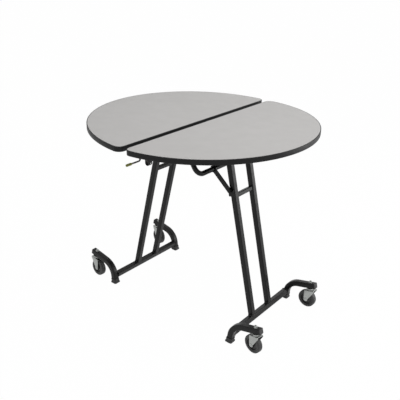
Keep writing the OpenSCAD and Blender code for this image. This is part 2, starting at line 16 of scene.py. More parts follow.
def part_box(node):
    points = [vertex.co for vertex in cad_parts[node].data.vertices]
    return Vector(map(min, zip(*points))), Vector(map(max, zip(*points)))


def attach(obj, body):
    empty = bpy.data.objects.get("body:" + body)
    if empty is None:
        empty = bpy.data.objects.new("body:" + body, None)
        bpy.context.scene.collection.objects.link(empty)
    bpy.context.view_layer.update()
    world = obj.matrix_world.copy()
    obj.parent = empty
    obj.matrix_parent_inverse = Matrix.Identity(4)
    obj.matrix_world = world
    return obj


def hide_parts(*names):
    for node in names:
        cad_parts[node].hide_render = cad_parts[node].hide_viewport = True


bl_info = {
    "name": "Room service table",
    "version": (1, 0, 0),
    "blender": (4, 5, 0),
    "location": "View3D > Sidebar > Table",
    "description": "Finishes and fine pieces for a folding room service table",
    "category": "Add Mesh",
}

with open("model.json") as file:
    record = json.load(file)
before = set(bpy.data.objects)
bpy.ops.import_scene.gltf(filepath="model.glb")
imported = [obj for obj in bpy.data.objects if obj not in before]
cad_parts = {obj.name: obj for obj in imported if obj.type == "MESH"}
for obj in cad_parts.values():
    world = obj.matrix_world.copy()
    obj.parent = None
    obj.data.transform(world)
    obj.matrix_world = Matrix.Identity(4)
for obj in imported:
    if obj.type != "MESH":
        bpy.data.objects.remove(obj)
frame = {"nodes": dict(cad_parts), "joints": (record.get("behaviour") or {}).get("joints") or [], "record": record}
nodes = frame["nodes"]
joints = {joint["name"]: joint for joint in frame["joints"]}
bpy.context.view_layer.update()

MM = 0.001
HALF_TURN = Matrix.Rotation(math.pi, 4, "Z")
SMOOTH_ANGLE = math.radians(35)
SHARP_ANGLE = math.radians(40)
FLAKES_PER_METRE = 420
SIDES = ("right", "left")
CASTERS = ("near_right", "far_right", "near_left", "far_left")

# The leg frame leans as its casters' swivel axes do, and the half tops slope.
swivel_axis = Vector(joints["near_right_swivel"]["axis"])
LEG_TILT = math.atan2(-swivel_axis.x, swivel_axis.z)
TOP_TILT = math.radians(90 - joints["right_fold"]["range_deg"][1])
FOLD = Vector(joints["right_fold"]["pos_m"])
BRACE_PIVOT = Vector(joints["right_brace_turn"]["pos_m"])
BRACE_BAR = Vector(joints["right_link_turn"]["pos_m"])
FOOT_Y = joints["far_right_swivel"]["pos_m"][1]
ARM = 23 * MM
ARM_CORNER = 3 * MM
# The foot tube's middle hangs a little below the point where the feet are measured.
TUBE_DROP = 3.5 * MM


def leg_place(side):
    """Matrix from the leg frame's own axes, whose Z runs up the legs from the feet."""
    low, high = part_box("right_foot_tube")
    lean = Matrix.Rotation(-LEG_TILT, 4, "Y")
    place = Matrix.Translation((low + high) / 2) @ lean @ Matrix.Translation((0, 0, TUBE_DROP))
    return place if side == "right" else HALF_TURN @ place


def top_place(side):
    """Matrix from a level half top to the sloping one."""
    turn = Matrix.Rotation(-TOP_TILT, 4, "Y")
    place = Matrix.Translation(FOLD) @ turn @ Matrix.Translation(-FOLD)
    return place if side == "right" else HALF_TURN @ place


def joint_place(name):
    """Where a joint's axis stands, as a matrix without a turn."""
    return Matrix.Translation(Vector(joints[name]["pos_m"]))


def caster_place(name):
    """Matrix from a caster's own axes: origin on its king pin, Z up the pin, wheel towards +X."""
    up = Vector(joints[name + "_swivel"]["axis"])
    across = Vector(joints[name + "_roll"]["axis"])
    turn = Matrix((across.cross(up), across, up)).transposed().to_4x4()
    return joint_place(name + "_swivel") @ turn


# ---------------------------------------------------------------- settings


class TableSizes(bpy.types.PropertyGroup):
    """Small sizes of the finishing work."""

    edge_round: FloatProperty(
        name="Edge rounding", description="Rounding of cut steel edges",
        default=0.0004, unit="LENGTH")
    powder_grain: FloatProperty(
        name="Powder grain", description="Size of the powder coat's orange peel",
        default=0.0022, unit="LENGTH")
    laminate_grain: FloatProperty(
        name="Laminate grain", description="Size of the laminate's fine texture",
        default=0.0009, unit="LENGTH")


class TableColours(bpy.types.PropertyGroup):
    """Colours of the table's finishes, as linear light."""

    laminate: FloatVectorProperty(
        name="Laminate", description="Pale grey laminate", subtype="COLOR",
        default=(0.372, 0.364, 0.357))
    band: FloatVectorProperty(
        name="Edge band", description="Black edge band", subtype="COLOR",
        default=(0.0075, 0.0075, 0.008))
    frame_paint: FloatVectorProperty(
        name="Frame", description="Dark powder coat", subtype="COLOR",
        default=(0.0062, 0.0062, 0.0064))
    zinc: FloatVectorProperty(
        name="Zinc", description="Bright zinc plate", subtype="COLOR",
        default=(0.36, 0.372, 0.36))
    rubber: FloatVectorProperty(
        name="Boots", description="Black rubber of the boots", subtype="COLOR",
        default=(0.012, 0.012, 0.0125))
    tyre: FloatVectorProperty(
        name="Tyres", description="Dark grey tyres", subtype="COLOR",
        default=(0.026, 0.0265, 0.0265))
    hub: FloatVectorProperty(
        name="Hubs", description="Moulded hubs", subtype="COLOR",
        default=(0.005, 0.005, 0.005))
    grip: FloatVectorProperty(
        name="Grip", description="Yellow-green lever grip", subtype="COLOR",
        default=(0.17, 0.175, 0.015))


# ---------------------------------------------------------------- materials


class Shader:
    """A material's node tree, with short names for the nodes that the finishes share."""

    def __init__(self, name):
        # A material that already has this name gives it up.
        plain = bpy.data.materials.get(name)
        if plain:
            plain.name = name + "_plain"
        self.material = bpy.data.materials.new(name)
        self.material.use_nodes = True
        self.tree = self.material.node_tree
        self.surface = self.tree.nodes["Principled BSDF"]
        self.place = self.add("ShaderNodeTexCoord").outputs["Object"]

    def add(self, kind, **values):
        """Adds a node and gives it its settings."""
        node = self.tree.nodes.new(kind)
        for key, value in values.items():
            setattr(node, key, value)
        return node

    def link(self, source, target):
        """Joins two sockets."""
        self.tree.links.new(source, target)

    def set(self, **values):
        """Sets the shader's own sockets."""
        for key, value in values.items():
            self.surface.inputs[key.replace("_", " ")].default_value = value

    def noise(self, size, detail=2.0, rough=0.5):
        """Cloudy noise with spots of about the given size."""
        node = self.add("ShaderNodeTexNoise")
        node.inputs["Scale"].default_value = 1 / size
        node.inputs["Detail"].default_value = detail
        node.inputs["Roughness"].default_value = rough
        self.link(self.place, node.inputs["Vector"])
        return node.outputs["Fac"]

    def ramp(self, source, low, high, start, end):
        """A value that runs from low to high as the source runs from start to end."""
        node = self.add("ShaderNodeMapRange")
        for key, value in (("From Min", start), ("From Max", end), ("To Min", low), ("To Max", high)):
            node.inputs[key].default_value = value
        self.link(source, node.inputs["Value"])
        return node.outputs["Result"]

    def blend(self, factor, first, second):
        """A colour between two, by a factor."""
        node = self.add("ShaderNodeMix", data_type="RGBA")
        node.inputs["A"].default_value = (*first, 1)
        node.inputs["B"].default_value = (*second, 1)
        self.link(factor, node.inputs["Factor"])
        return node.outputs["Result"]

    def bump(self, height, strength, depth):
        """Raises the surface by a value, up to a depth."""
        node = self.add("ShaderNodeBump")
        node.inputs["Strength"].default_value = strength
        node.inputs["Distance"].default_value = depth
        self.link(height, node.inputs["Height"])
        self.link(node.outputs["Normal"], self.surface.inputs["Normal"])

    def colour(self, source):
        """Takes the surface's colour from a socket."""
        self.link(source, self.surface.inputs["Base Color"])

    def roughness(self, source):
        """Takes the surface's roughness from a socket."""
        self.link(source, self.surface.inputs["Roughness"])

    def painted_highlight_edges(self, radius):
        """1 on sharp edges and 0 on flat faces, from the angle between bevelled and true normals."""
        bevel = self.add("ShaderNodeBevel", samples=4)
        bevel.inputs["Radius"].default_value = radius
        flat = self.add("ShaderNodeNewGeometry")
        dot = self.add("ShaderNodeVectorMath", operation="DOT_PRODUCT")
        self.link(bevel.outputs["Normal"], dot.inputs[0])
        self.link(flat.outputs["Normal"], dot.inputs[1])
        return self.ramp(dot.outputs["Value"], low=1.0, high=0.0, start=0.85, end=0.995)


def seen_rays(tree):
    """1 for the rays that show the background: straight, mirrored or through glass."""
    path = tree.nodes.new("ShaderNodeLightPath")
    seen = path.outputs["Is Camera Ray"]
    for kind in ("Is Glossy Ray", "Is Transmission Ray"):
        either = tree.nodes.new("ShaderNodeMath")
        either.operation = "MAXIMUM"
        tree.links.new(seen, either.inputs[0])
        tree.links.new(path.outputs[kind], either.inputs[1])
        seen = either.outputs["Value"]
    return seen


def scaled(colour, factor):
    """A colour made darker or lighter by a factor."""
    return tuple(min(1.0, channel * factor) for channel in colour)


def laminate_material(colours, sizes):
    """Satin melamine laminate with a faint cloudy tone and a very fine texture."""
    shader = Shader("laminate")
    tone = shader.noise(size=0.35, detail=3)
    shader.colour(shader.blend(tone, scaled(colours.laminate, 0.96), scaled(colours.laminate, 1.03)))
    smear = shader.noise(size=0.05, detail=5, rough=0.6)
    shader.roughness(shader.ramp(smear, low=0.36, high=0.46, start=0.3, end=0.7))
    shader.bump(shader.noise(sizes.laminate_grain), strength=0.12, depth=0.00006)
    shader.set(Specular_IOR_Level=0.4)
    return shader.material


def board_material(colours, sizes):
    """Sealed particle board: dark brown, with flakes."""
    shader = Shader("board")
    flakes = shader.add("ShaderNodeTexVoronoi")
    flakes.inputs["Scale"].default_value = FLAKES_PER_METRE
    shader.link(shader.place, flakes.inputs["Vector"])
    shade = shader.ramp(flakes.outputs["Color"], low=0.0, high=1.0, start=0.1, end=0.9)
    shader.colour(shader.blend(shade, (0.035, 0.030, 0.026), (0.055, 0.048, 0.04)))
    shader.bump(flakes.outputs["Distance"], strength=0.3, depth=0.0003)
    shader.set(Roughness=0.75)
    return shader.material


def band_material(colours, sizes):
    """Black vinyl edge band, satin, with faint scuffs."""
    shader = Shader("edge_band")
    scuff = shader.noise(size=0.012, detail=6, rough=0.7)
    worn = shader.ramp(scuff, low=0, high=1, start=0.55, end=0.8)
    shader.colour(shader.blend(worn, colours.band, scaled(colours.band, 1.9)))
    shader.roughness(shader.ramp(scuff, low=0.40, high=0.56, start=0.3, end=0.7))
    shader.bump(shader.noise(size=0.0012), strength=0.1, depth=0.00008)
    shader.set(Specular_IOR_Level=0.2)
    return shader.material


def paint_material(colours, sizes):
    """Dark semi-gloss powder coat: fine orange peel, sharp edges painted lighter as a painted highlight along
    them.
    """
    shader = Shader("frame_paint")
    cloud = shader.noise(size=0.06, detail=4)
    base = shader.blend(cloud, scaled(colours.frame_paint, 0.85), scaled(colours.frame_paint, 1.15))
    # Sharp edges get a lighter colour: a painted highlight along them, not a change in the paint.
    edge = shader.add("ShaderNodeMix", data_type="RGBA")
    edge.inputs["B"].default_value = (*scaled(colours.frame_paint, 2.2), 1)
    shader.link(shader.painted_highlight_edges(radius=0.0012), edge.inputs["Factor"])
    shader.link(base, edge.inputs["A"])
    shader.colour(edge.outputs["Result"])
    gloss = shader.noise(size=0.02, detail=3)
    shader.roughness(shader.ramp(gloss, low=0.28, high=0.40, start=0.3, end=0.7))
    shader.bump(shader.noise(sizes.powder_grain), strength=0.12, depth=0.0001)
    shader.set(Specular_IOR_Level=0.2)
    return shader.material


def zinc_material(colours, sizes):
    """Bright zinc plate: pale metal with a soft mottle and a fine grain."""
    shader = Shader("bright_zinc")
    mottle = shader.noise(size=0.006, detail=4, rough=0.6)
    shader.colour(shader.blend(mottle, scaled(colours.zinc, 0.78), scaled(colours.zinc, 1.1)))
    shader.roughness(shader.ramp(mottle, low=0.24, high=0.42, start=0.3, end=0.7))
    shader.bump(shader.noise(size=0.0006, detail=3), strength=0.12, depth=0.00005)
    shader.set(Metallic=1.0)
    return shader.material


def lever_material(colours, sizes):
    """Dull plated rod, darker than the casters' zinc."""
    shader = Shader("lever_steel")
    mottle = shader.noise(size=0.004, detail=4, rough=0.6)
    shader.colour(shader.blend(mottle, (0.05, 0.045, 0.043), (0.09, 0.082, 0.078)))
    shader.roughness(shader.ramp(mottle, low=0.35, high=0.5, start=0.3, end=0.7))
    shader.bump(shader.noise(size=0.0008, detail=3), strength=0.15, depth=0.00005)
    shader.set(Metallic=0.9)
    return shader.material


def rubber_material(name, colour, rough, grain):
    """Matte rubber or plastic with a fine grain and a little dust."""
    shader = Shader(name)
    dust = shader.noise(size=0.01, detail=5, rough=0.65)
    dusty = shader.ramp(dust, low=0, high=1, start=0.5, end=0.85)
    shader.colour(shader.blend(dusty, colour, scaled(colour, 1.7)))
    shader.roughness(shader.ramp(dust, low=rough - 0.06, high=rough + 0.08, start=0.3, end=0.7))
    shader.bump(shader.noise(grain), strength=0.2, depth=grain * 0.15)
    return shader.material


def all_materials(colours, sizes):
    """Makes every finish, and returns them by slot."""
    made = [maker(colours, sizes) for maker in (
        laminate_material, board_material, band_material, paint_material, zinc_material, lever_material)]
    for name, colour, rough, grain in (
        ("boot_rubber", colours.rubber, 0.62, 0.0009),
        ("cap_plastic", colours.rubber, 0.45, 0.0007),
        ("grip_plastic", colours.grip, 0.42, 0.0008),
        ("tyre_rubber", colours.tyre, 0.50, 0.0011),
        ("hub_plastic", colours.hub, 0.40, 0.0009),
    ):
        made.append(rubber_material(name, colour, rough, grain))
    return {material.name: material for material in made}


# ---------------------------------------------------------------- mesh helpers


def shade_smooth(mesh):
    """Smooth faces, with edges sharper than SMOOTH_ANGLE kept."""
    for polygon in mesh.polygons:
        polygon.use_smooth = True
    mesh.set_sharp_from_angle(angle=SMOOTH_ANGLE)


def make_piece(name, build, place, slot, body, stands_for=()):
    """Makes one finished object from a bmesh, puts it in place and lets it ride on its body."""
    mesh = bpy.data.meshes.new(name)
    bmesh.ops.recalc_face_normals(build, faces=build.faces)
    bmesh.ops.transform(build, matrix=place, verts=build.verts)
    build.to_mesh(mesh)
    build.free()
    shade_smooth(mesh)
    piece = bpy.data.objects.new(name, mesh)
    bpy.context.scene.collection.objects.link(piece)
    mesh.materials.append(bpy.data.materials[slot])
    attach(piece, body)
    if stands_for:
        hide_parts(*stands_for)


def revolve(build, profile, segments):
    """Spins a profile of (radius, height) points, in millimetres, into a closed turned solid."""
    verts = [build.verts.new((radius * MM, 0, height * MM)) for radius, height in profile]
    pairs = list(zip(verts, verts[1:]))
    if profile[0][0] > 0:
        pairs.append((verts[-1], verts[0]))
    edges = [build.edges.new(pair) for pair in pairs]
    bmesh.ops.spin(build, geom=verts + edges, cent=(0, 0, 0), axis=(0, 0, 1),
                   angle=math.tau, steps=segments, use_merge=True)
    bmesh.ops.remove_doubles(build, verts=build.verts, dist=1e-6)


def extruded_point(build, vert, move):
    """Draws a straight edge from a vertex, and returns its far end."""
    made = bmesh.ops.extrude_vert_indiv(build, verts=[vert])
    bmesh.ops.translate(build, verts=made["verts"], vec=move)
    return made["verts"][0]


def top_height():
    """Height of the level top's upper face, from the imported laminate."""
    level = top_place("right").inverted()
    return max((level @ vert.co).z for vert in nodes["right_top_laminate"].data.vertices)


def rounded_square(build, width, corner, segments=5):
    """A flat loop of edges round the origin: a square with rounded corners."""
    made = bmesh.ops.create_circle(build, segments=4, radius=width / math.sqrt(2),
                                   matrix=Matrix.Rotation(math.radians(45), 4, "Z"))
    bmesh.ops.bevel(build, geom=made["verts"], offset=corner, offset_type="OFFSET",
                    affect="VERTICES", segments=segments, profile=0.5, material=-1)
    return build.edges[:]


def of_kind(items, kind):
    """The vertices or edges among what an operator made."""
    return [item for item in items if isinstance(item, kind)]


def extruded(build, loop, move):
    """Extrudes a loop of edges by a move, and returns the loop at its end."""
    made = bmesh.ops.extrude_edge_only(build, edges=loop)["geom"]
    verts = of_kind(made, bmesh.types.BMVert)
    bmesh.ops.translate(build, verts=verts, vec=move)
    moved = set(verts)
    return [edge for edge in of_kind(made, bmesh.types.BMEdge) if moved.issuperset(edge.verts)]


def stepped(build, loop, rise, share):
    """Extrudes a level loop upwards by a rise and scales its outline by a share."""
    top = extruded(build, loop, (0, 0, rise))
    verts = list(dict.fromkeys(vert for edge in top for vert in edge.verts))
    centre = sum((vert.co for vert in verts), Vector()) / len(verts)
    about = Matrix.Translation(-centre)
    bmesh.ops.scale(build, verts=verts, vec=(share, share, 1), space=about)
    return top


def capped(build, loop):
    """Closes a loop of edges with one face."""
    bmesh.ops.contextual_create(build, geom=loop)


def swept(build, loop, steps, segments):
    """Carries a level loop up and along a path of runs and bends, and caps both ends.

    A step is (length,) for a straight run or (angle, radius, towards) for a bend, where
    towards is the direction from the path to the bend's centre, in the path's own axes.
    """
    capped(build, loop)
    path = Matrix.Identity(4)
    for step in steps:
        if len(step) == 1:
            move = path.to_3x3() @ Vector((0, 0, step[0]))
            loop = extruded(build, loop, move)
            path = Matrix.Translation(move) @ path
            continue
        angle, radius, towards = step
        side = path.to_3x3() @ Vector(towards)
        axis = (path.to_3x3() @ Vector((0, 0, 1))).cross(side)
        centre = path.translation + side * radius
        made = bmesh.ops.spin(build, geom=loop, cent=centre, axis=axis, angle=angle, steps=segments)
        loop = of_kind(made["geom_last"], bmesh.types.BMEdge)
        about = Matrix.Translation(centre) @ Matrix.Rotation(angle, 4, axis)
        path = about @ Matrix.Translation(-centre) @ path
    capped(build, loop)


def bevelled(build, edges, width, segments):
    """Rounds the given edges."""
    bmesh.ops.bevel(build, geom=edges, offset=width, offset_type="OFFSET", affect="EDGES",
                    segments=segments, profile=0.5, material=-1, clamp_overlap=True)


def sharp_edges(build, angle=SHARP_ANGLE):
    """The edges where two faces meet at more than an angle."""
    return [edge for edge in build.edges if edge.is_manifold and edge.calc_face_angle() > angle]


def arc(build, vert, centre, angle, steps):
    """Draws an arc of edges from a vertex about a centre, and returns its last vertex."""
    made = bmesh.ops.spin(build, geom=[vert], cent=centre, axis=(0, 0, 1), angle=angle, steps=steps)
    return of_kind(made["geom_last"], bmesh.types.BMVert)[0]


def node_material(node_name):
    """The record's material slot of a CAD node."""
    for row in frame["record"]["subparts"]:
        if row["node"] == node_name:
            return row["material_slot"]
    raise ValueError(node_name + " has no material slot")


# ---------------------------------------------------------------- operators


class TABLE_OT_stage(bpy.types.Operator):
    """Makes the pale floor, the soft studio light and the camera"""

    bl_idname = "table.stage"
    bl_label = "Stage and camera"

    # The camera stands where the photograph's view puts it.
    CAMERA = Vector((1.3480, -1.6984, 1.4106))
    RIGHT = Vector((0.7748, 0.6318, 0.0227))
    UP = Vector((-0.2770, 0.3070, 0.9105))
    LENS = 52.49
    SENSOR = 36
    FILL = 0.30
    FLOOR_HALF = 40
    FLOOR_GREY = (0.86, 0.86, 0.86, 1)
    FLOOR_WHITE = 0.99
    AIM = Vector((0, 0, 0.45))
    # Each lamp's name, place, size and power.
    LAMPS = (
        ("overhead", (0.7, 0.1, 2.6), (2.4, 2.4), 48),
        ("side_key", (2.2, 2.2, 0.6), (1.6, 1.2), 24),
        ("front_fill", (-1.6, -2.8, 1.7), (1.2, 1.6), 5),
    )

    def execute(self, context):
        scene = context.scene
        scene.view_settings.view_transform = "Standard"
        self.camera(scene)
        self.world(scene)
        self.floor()
        self.lamps(scene)
        return {"FINISHED"}

    def camera(self, scene):
        """A camera at the photograph's viewing angle."""
        data = bpy.data.cameras.new("camera")
        data.lens = self.LENS
        data.sensor_width = self.SENSOR
        camera = bpy.data.objects.new("camera", data)
        back = self.RIGHT.cross(self.UP).normalized()
        right = self.UP.cross(back).normalized()
        turn = Matrix((right, back.cross(right), back)).transposed().to_4x4()
        camera.matrix_world = Matrix.Translation(self.CAMERA) @ turn
        scene.collection.objects.link(camera)
        scene.camera = camera

    def world(self, scene):
        """A soft fill light, with a white background where it is seen."""
        world = bpy.data.worlds.new("studio")
        world.use_nodes = True
        tree = world.node_tree
        light = tree.nodes["Background"]
        light.inputs["Color"].default_value = (1, 1, 1, 1)
        light.inputs["Strength"].default_value = self.FILL
        backdrop = tree.nodes.new("ShaderNodeBackground")
        backdrop.inputs["Color"].default_value = (1, 1, 1, 1)
        mix = tree.nodes.new("ShaderNodeMixShader")
        tree.links.new(seen_rays(tree), mix.inputs["Fac"])
        tree.links.new(light.outputs["Background"], mix.inputs[1])
        tree.links.new(backdrop.outputs["Background"], mix.inputs[2])
        tree.links.new(mix.outputs["Shader"], tree.nodes["World Output"].inputs["Surface"])
        scene.world = world

    def floor(self):
        """A pale floor that looks nearly white and still takes the table's shadow."""
        build = bmesh.new()
        bmesh.ops.create_grid(build, x_segments=8, y_segments=8, size=self.FLOOR_HALF)
        mesh = bpy.data.meshes.new("floor")
        build.to_mesh(mesh)
        build.free()
        floor = bpy.data.objects.new("floor", mesh)
        bpy.context.scene.collection.objects.link(floor)
        shader = Shader("floor")
        tree = shader.tree
        shader.set(Base_Color=self.FLOOR_GREY, Roughness=0.9)
        white = shader.add("ShaderNodeEmission")
        share = shader.add("ShaderNodeMath", operation="MULTIPLY")
        share.inputs[1].default_value = self.FLOOR_WHITE
        shader.link(seen_rays(tree), share.inputs[0])
        mix = shader.add("ShaderNodeMixShader")
        shader.link(share.outputs["Value"], mix.inputs["Fac"])
        shader.link(shader.surface.outputs["BSDF"], mix.inputs[1])
        shader.link(white.outputs["Emission"], mix.inputs[2])
        shader.link(mix.outputs["Shader"], tree.nodes["Material Output"].inputs["Surface"])
        mesh.materials.append(shader.material)

    def lamps(self, scene):
        """A wide overhead softbox, a low lamp that lights the legs' sides, and a weak front fill."""
        for name, at, size, power in self.LAMPS:
            data = bpy.data.lights.new(name, "AREA")
            data.shape = "RECTANGLE"
            data.size, data.size_y = size
            data.energy = power
            lamp = bpy.data.objects.new(name, data)
            lamp.location = at
            aim = self.AIM - Vector(at)
            lamp.rotation_euler = aim.to_track_quat("-Z", "Y").to_euler()
            scene.collection.objects.link(lamp)


class TABLE_OT_tops(bpy.types.Operator):
    """Makes the black edge bands with their rounded corners and rolled edges"""

    bl_idname = "table.tops"
    bl_label = "Table tops"

    RADIUS = 437 * MM
    ARC_SHIFT = 9.5 * MM
    EDGE_X = 11 * MM
    CORNER = 25 * MM
    BAND = 3 * MM
    THICK = 19 * MM
    ROLL = 1.3 * MM
    RIM_STEPS = 150
    CORNER_STEPS = 12

    def execute(self, context):
        for side in SIDES:
            self.band(side)
        return {"FINISHED"}

    def outline(self, build):
        """Half-round outline as one loop of edges, drawn with arcs."""
        inner_x = self.EDGE_X + self.CORNER
        reach = self.RADIUS - self.CORNER
        rise = math.sqrt(reach ** 2 - (inner_x - self.ARC_SHIFT) ** 2)
        swing = math.atan2(rise, inner_x - self.ARC_SHIFT)
        middle = Vector((self.ARC_SHIFT, 0, 0))
        start = middle + self.RADIUS * Vector((math.cos(swing), -math.sin(swing), 0))
        vert = build.verts.new(start)
        vert = arc(build, vert, middle, 2 * swing, self.RIM_STEPS)
        vert = arc(build, vert, (inner_x, rise, 0), math.pi - swing, self.CORNER_STEPS)
        vert = extruded_point(build, vert, (0, -2 * rise, 0))
        arc(build, vert, (inner_x, -rise, 0), math.pi - swing, self.CORNER_STEPS)
        bmesh.ops.remove_doubles(build, verts=build.verts, dist=1e-6)
        return build.edges[:]

    def band(self, side):
        """The outline drawn up into a flat ring, with its four rims rolled."""
        build = bmesh.new()
        loop = self.outline(build)
        bmesh.ops.translate(build, verts=build.verts, vec=(0, 0, top_height() - self.THICK))
        capped(build, loop)
        capped(build, extruded(build, loop, (0, 0, self.THICK)))
        bmesh.ops.recalc_face_normals(build, faces=build.faces)
        flats = [face for face in build.faces if abs(face.normal.z) > 0.9]
        rim = [edge for face in flats for edge in face.edges]
        bmesh.ops.inset_region(build, faces=flats, thickness=self.BAND, use_even_offset=True)
        # The two faces inside the ring still have the whole outline. They go, and the gap is walled.
        flats = [face for face in build.faces if len(face.verts) > self.RIM_STEPS]
        inner = [edge for face in flats for edge in face.edges]
        bmesh.ops.delete(build, geom=flats, context="FACES_ONLY")
        bmesh.ops.bridge_loops(build, edges=inner)
        rim = [edge for edge in rim if edge.is_valid]
        bevelled(build, rim, self.ROLL, segments=3)
        make_piece(side + "_band", build, top_place(side), "edge_band",
                   side + "_half_top", [side + "_edge_band"])


class TABLE_OT_feet(bpy.types.Operator):
    """Makes the bent foot arms with their end caps, and the flared rubber boots"""

    bl_idname = "table.feet"
    bl_label = "Foot arms, caps and boots"

    RISE = 40 * MM
    REACH = 144.5 * MM
    BEND = 65 * MM
    LEAN = math.radians(21)
    STUB_OFF = 3.9 * MM
    STUB_END = 4.5 * MM
    # Each step of an end cap: its rise in mm, and how far it narrows.
    CAP_STEPS = ((1.6, 1.0), (0.9, 0.965), (0.4, 0.88), (0.1, 0.7))
    # A boot's sole, and its steps up to the lip and down into the mouth: rise and width in mm.
    SOLE = 30
    SOLE_CORNER = 6 * MM
    BOOT_STEPS = ((0.8, 31), (3.0, 31), (1.2, 29.5), (2.0, 27.2), (9.0, 26.6), (1.0, 27.6),
                  (1.6, 27.6), (0.8, 26.4), (0.0, 23.2), (-3.0, 23.2))

    def execute(self, context):
        up = self.RISE - self.BEND * (1 - math.sin(self.LEAN))
        out = self.STUB_OFF + math.tan(self.LEAN) * up
        run = out + self.BEND * math.cos(self.LEAN)
        stub_lean = self.LEAN - LEG_TILT
        for side in SIDES:
            place = leg_place(side)
            top = leg_place("right") @ Vector((out, 0, up))
            length = (top.z - self.STUB_END) / math.cos(stub_lean)
            sole_x = top.x - top.z * math.tan(stub_lean)
            for end, y in (("a", -FOOT_Y), ("b", FOOT_Y)):
                at = Matrix.Translation((out, y, up)) @ Matrix.Rotation(self.LEAN, 4, "Y")
                at = at @ Matrix.Translation((0, 0, -length))
                self.arm(side, end, place @ at, length, self.REACH - run)
                at = Matrix.Translation((self.REACH, y, self.RISE)) @ Matrix.Rotation(math.pi / 2, 4, "Y")
                self.cap(side, end, place @ at)
                sole = Matrix.Translation((sole_x, y, 0))
                self.boot(side, end, (sole if side == "right" else HALF_TURN @ sole), stub_lean)
        return {"FINISHED"}

    def arm(self, side, end, place, stub, run):
        """A square tube: a stub up from the boot, a bend and a run out over the caster."""
        build = bmesh.new()
        loop = rounded_square(build, ARM, ARM_CORNER)
        bend = (math.pi / 2 - self.LEAN, self.BEND, (1, 0, 0))
        swept(build, loop, [(stub,), bend, (run,)], segments=20)
        names = [side + "_foot_arms"] if end == "a" else []
        make_piece(side + "_foot_arm_" + end, build, place, "frame_paint", side + "_leg_frame", names)

    def cap(self, side, end, place):
        """A plug with a domed face in the arm's open end."""
        build = bmesh.new()
        loop = rounded_square(build, ARM, ARM_CORNER)
        capped(build, loop)
        for rise, share in self.CAP_STEPS:
            loop = stepped(build, loop, rise * MM, share)
        capped(build, loop)
        names = [side + "_arm_caps"] if end == "a" else []
        make_piece(side + "_arm_cap_" + end, build, place, "cap_plastic", side + "_leg_frame", names)

    def boot(self, side, end, place, lean):
        """A flared sole, a waist and a rolled lip, leaning as the stub does."""
        build = bmesh.new()
        loop = rounded_square(build, self.SOLE * MM, self.SOLE_CORNER)
        capped(build, loop)
        width = self.SOLE
        for rise, next_width in self.BOOT_STEPS:
            loop = stepped(build, loop, rise * MM, next_width / width)
            width = next_width
        capped(build, loop)
        for vert in build.verts:
            height = max(0.0, vert.co.z - self.STUB_END)
            vert.co.x += height * math.tan(lean)
        names = [side + "_boots"] if end == "a" else []
        make_piece(side + "_boot_" + end, build, place, "boot_rubber", side + "_leg_frame", names)


class TABLE_OT_welds(bpy.types.Operator):
    """Makes the weld beads where the leg frames' tubes meet"""

    bl_idname = "table.welds"
    bl_label = "Welds"

    TUBE = 22 * MM
    RUNG = 16 * MM
    # The bead at a leg's foot sits a little inside the leg's own width.
    LEG_FOOT = TUBE - 0.6 * MM
    BEAD = 2.0 * MM
    CORNER = 3 * MM
    # Each pass of a bead: its rise in mm, and how far it has closed in on the tube.
    PASSES = ((0.7, 0.5), (0.7, 0.7), (0.7, 1.0))
    CLOSE_IN = 0.34
    UNDER_TUBE = 2.6 * MM
    RIPPLE = 0.012
    RIPPLE_TURNS = (900, 760)

    def execute(self, context):
        rung_low, rung_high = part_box("right_rung")
        rung = leg_place("right").inverted() @ ((rung_low + rung_high) / 2)
        leg_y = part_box("right_legs")[1].y - self.TUBE / 2
        for side in SIDES:
            place = leg_place(side)
            for number, y in enumerate((-leg_y, leg_y)):
                foot = Matrix.Translation((0, y, self.TUBE / 2 - TUBE_DROP))
                self.bead(side + "_leg_weld_%d" % number, side, place @ foot, self.LEG_FOOT)
                inward = 1 if y < 0 else -1
                turn = Matrix.Rotation(-inward * math.pi / 2, 4, "X")
                at = Matrix.Translation((0, y + inward * self.TUBE / 2, rung.z)) @ turn
                self.bead(side + "_rung_weld_%d" % number, side, place @ at, self.RUNG)
                end = y / leg_y * (FOOT_Y - ARM / 2)
                turn = Matrix.Rotation(math.copysign(math.pi / 2, end), 4, "X")
                at = Matrix.Translation((0, end, -TUBE_DROP)) @ turn
                self.bead(side + "_foot_weld_%d" % number, side, place @ at, self.TUBE)
        return {"FINISHED"}

    def bead(self, name, side, place, width):
        """A fillet collar round a tube: wide at its foot, its outline rippled by the passes."""
        build = bmesh.new()
        loop = rounded_square(build, width + 2 * self.BEAD, self.CORNER + self.BEAD, segments=6)
        bmesh.ops.subdivide_edges(build, edges=loop, cuts=3)
        loop = build.edges[:]
        span = width + 2 * self.BEAD
        for rise, inset in self.PASSES:
            share = 1 - 2 * inset * self.BEAD * self.CLOSE_IN / span
            loop = stepped(build, loop, rise * MM, share)
        stepped(build, loop, 0.0, 1 - self.UNDER_TUBE / width)
        first, second = self.RIPPLE_TURNS
        for vert in build.verts:
            x, y = vert.co.xy
            ripple = 1 + self.RIPPLE * math.sin(first * (x + y)) * math.cos(second * (x - y))
            vert.co.x *= ripple
            vert.co.y *= ripple
        make_piece(name, build, place, "frame_paint", side + "_leg_frame")


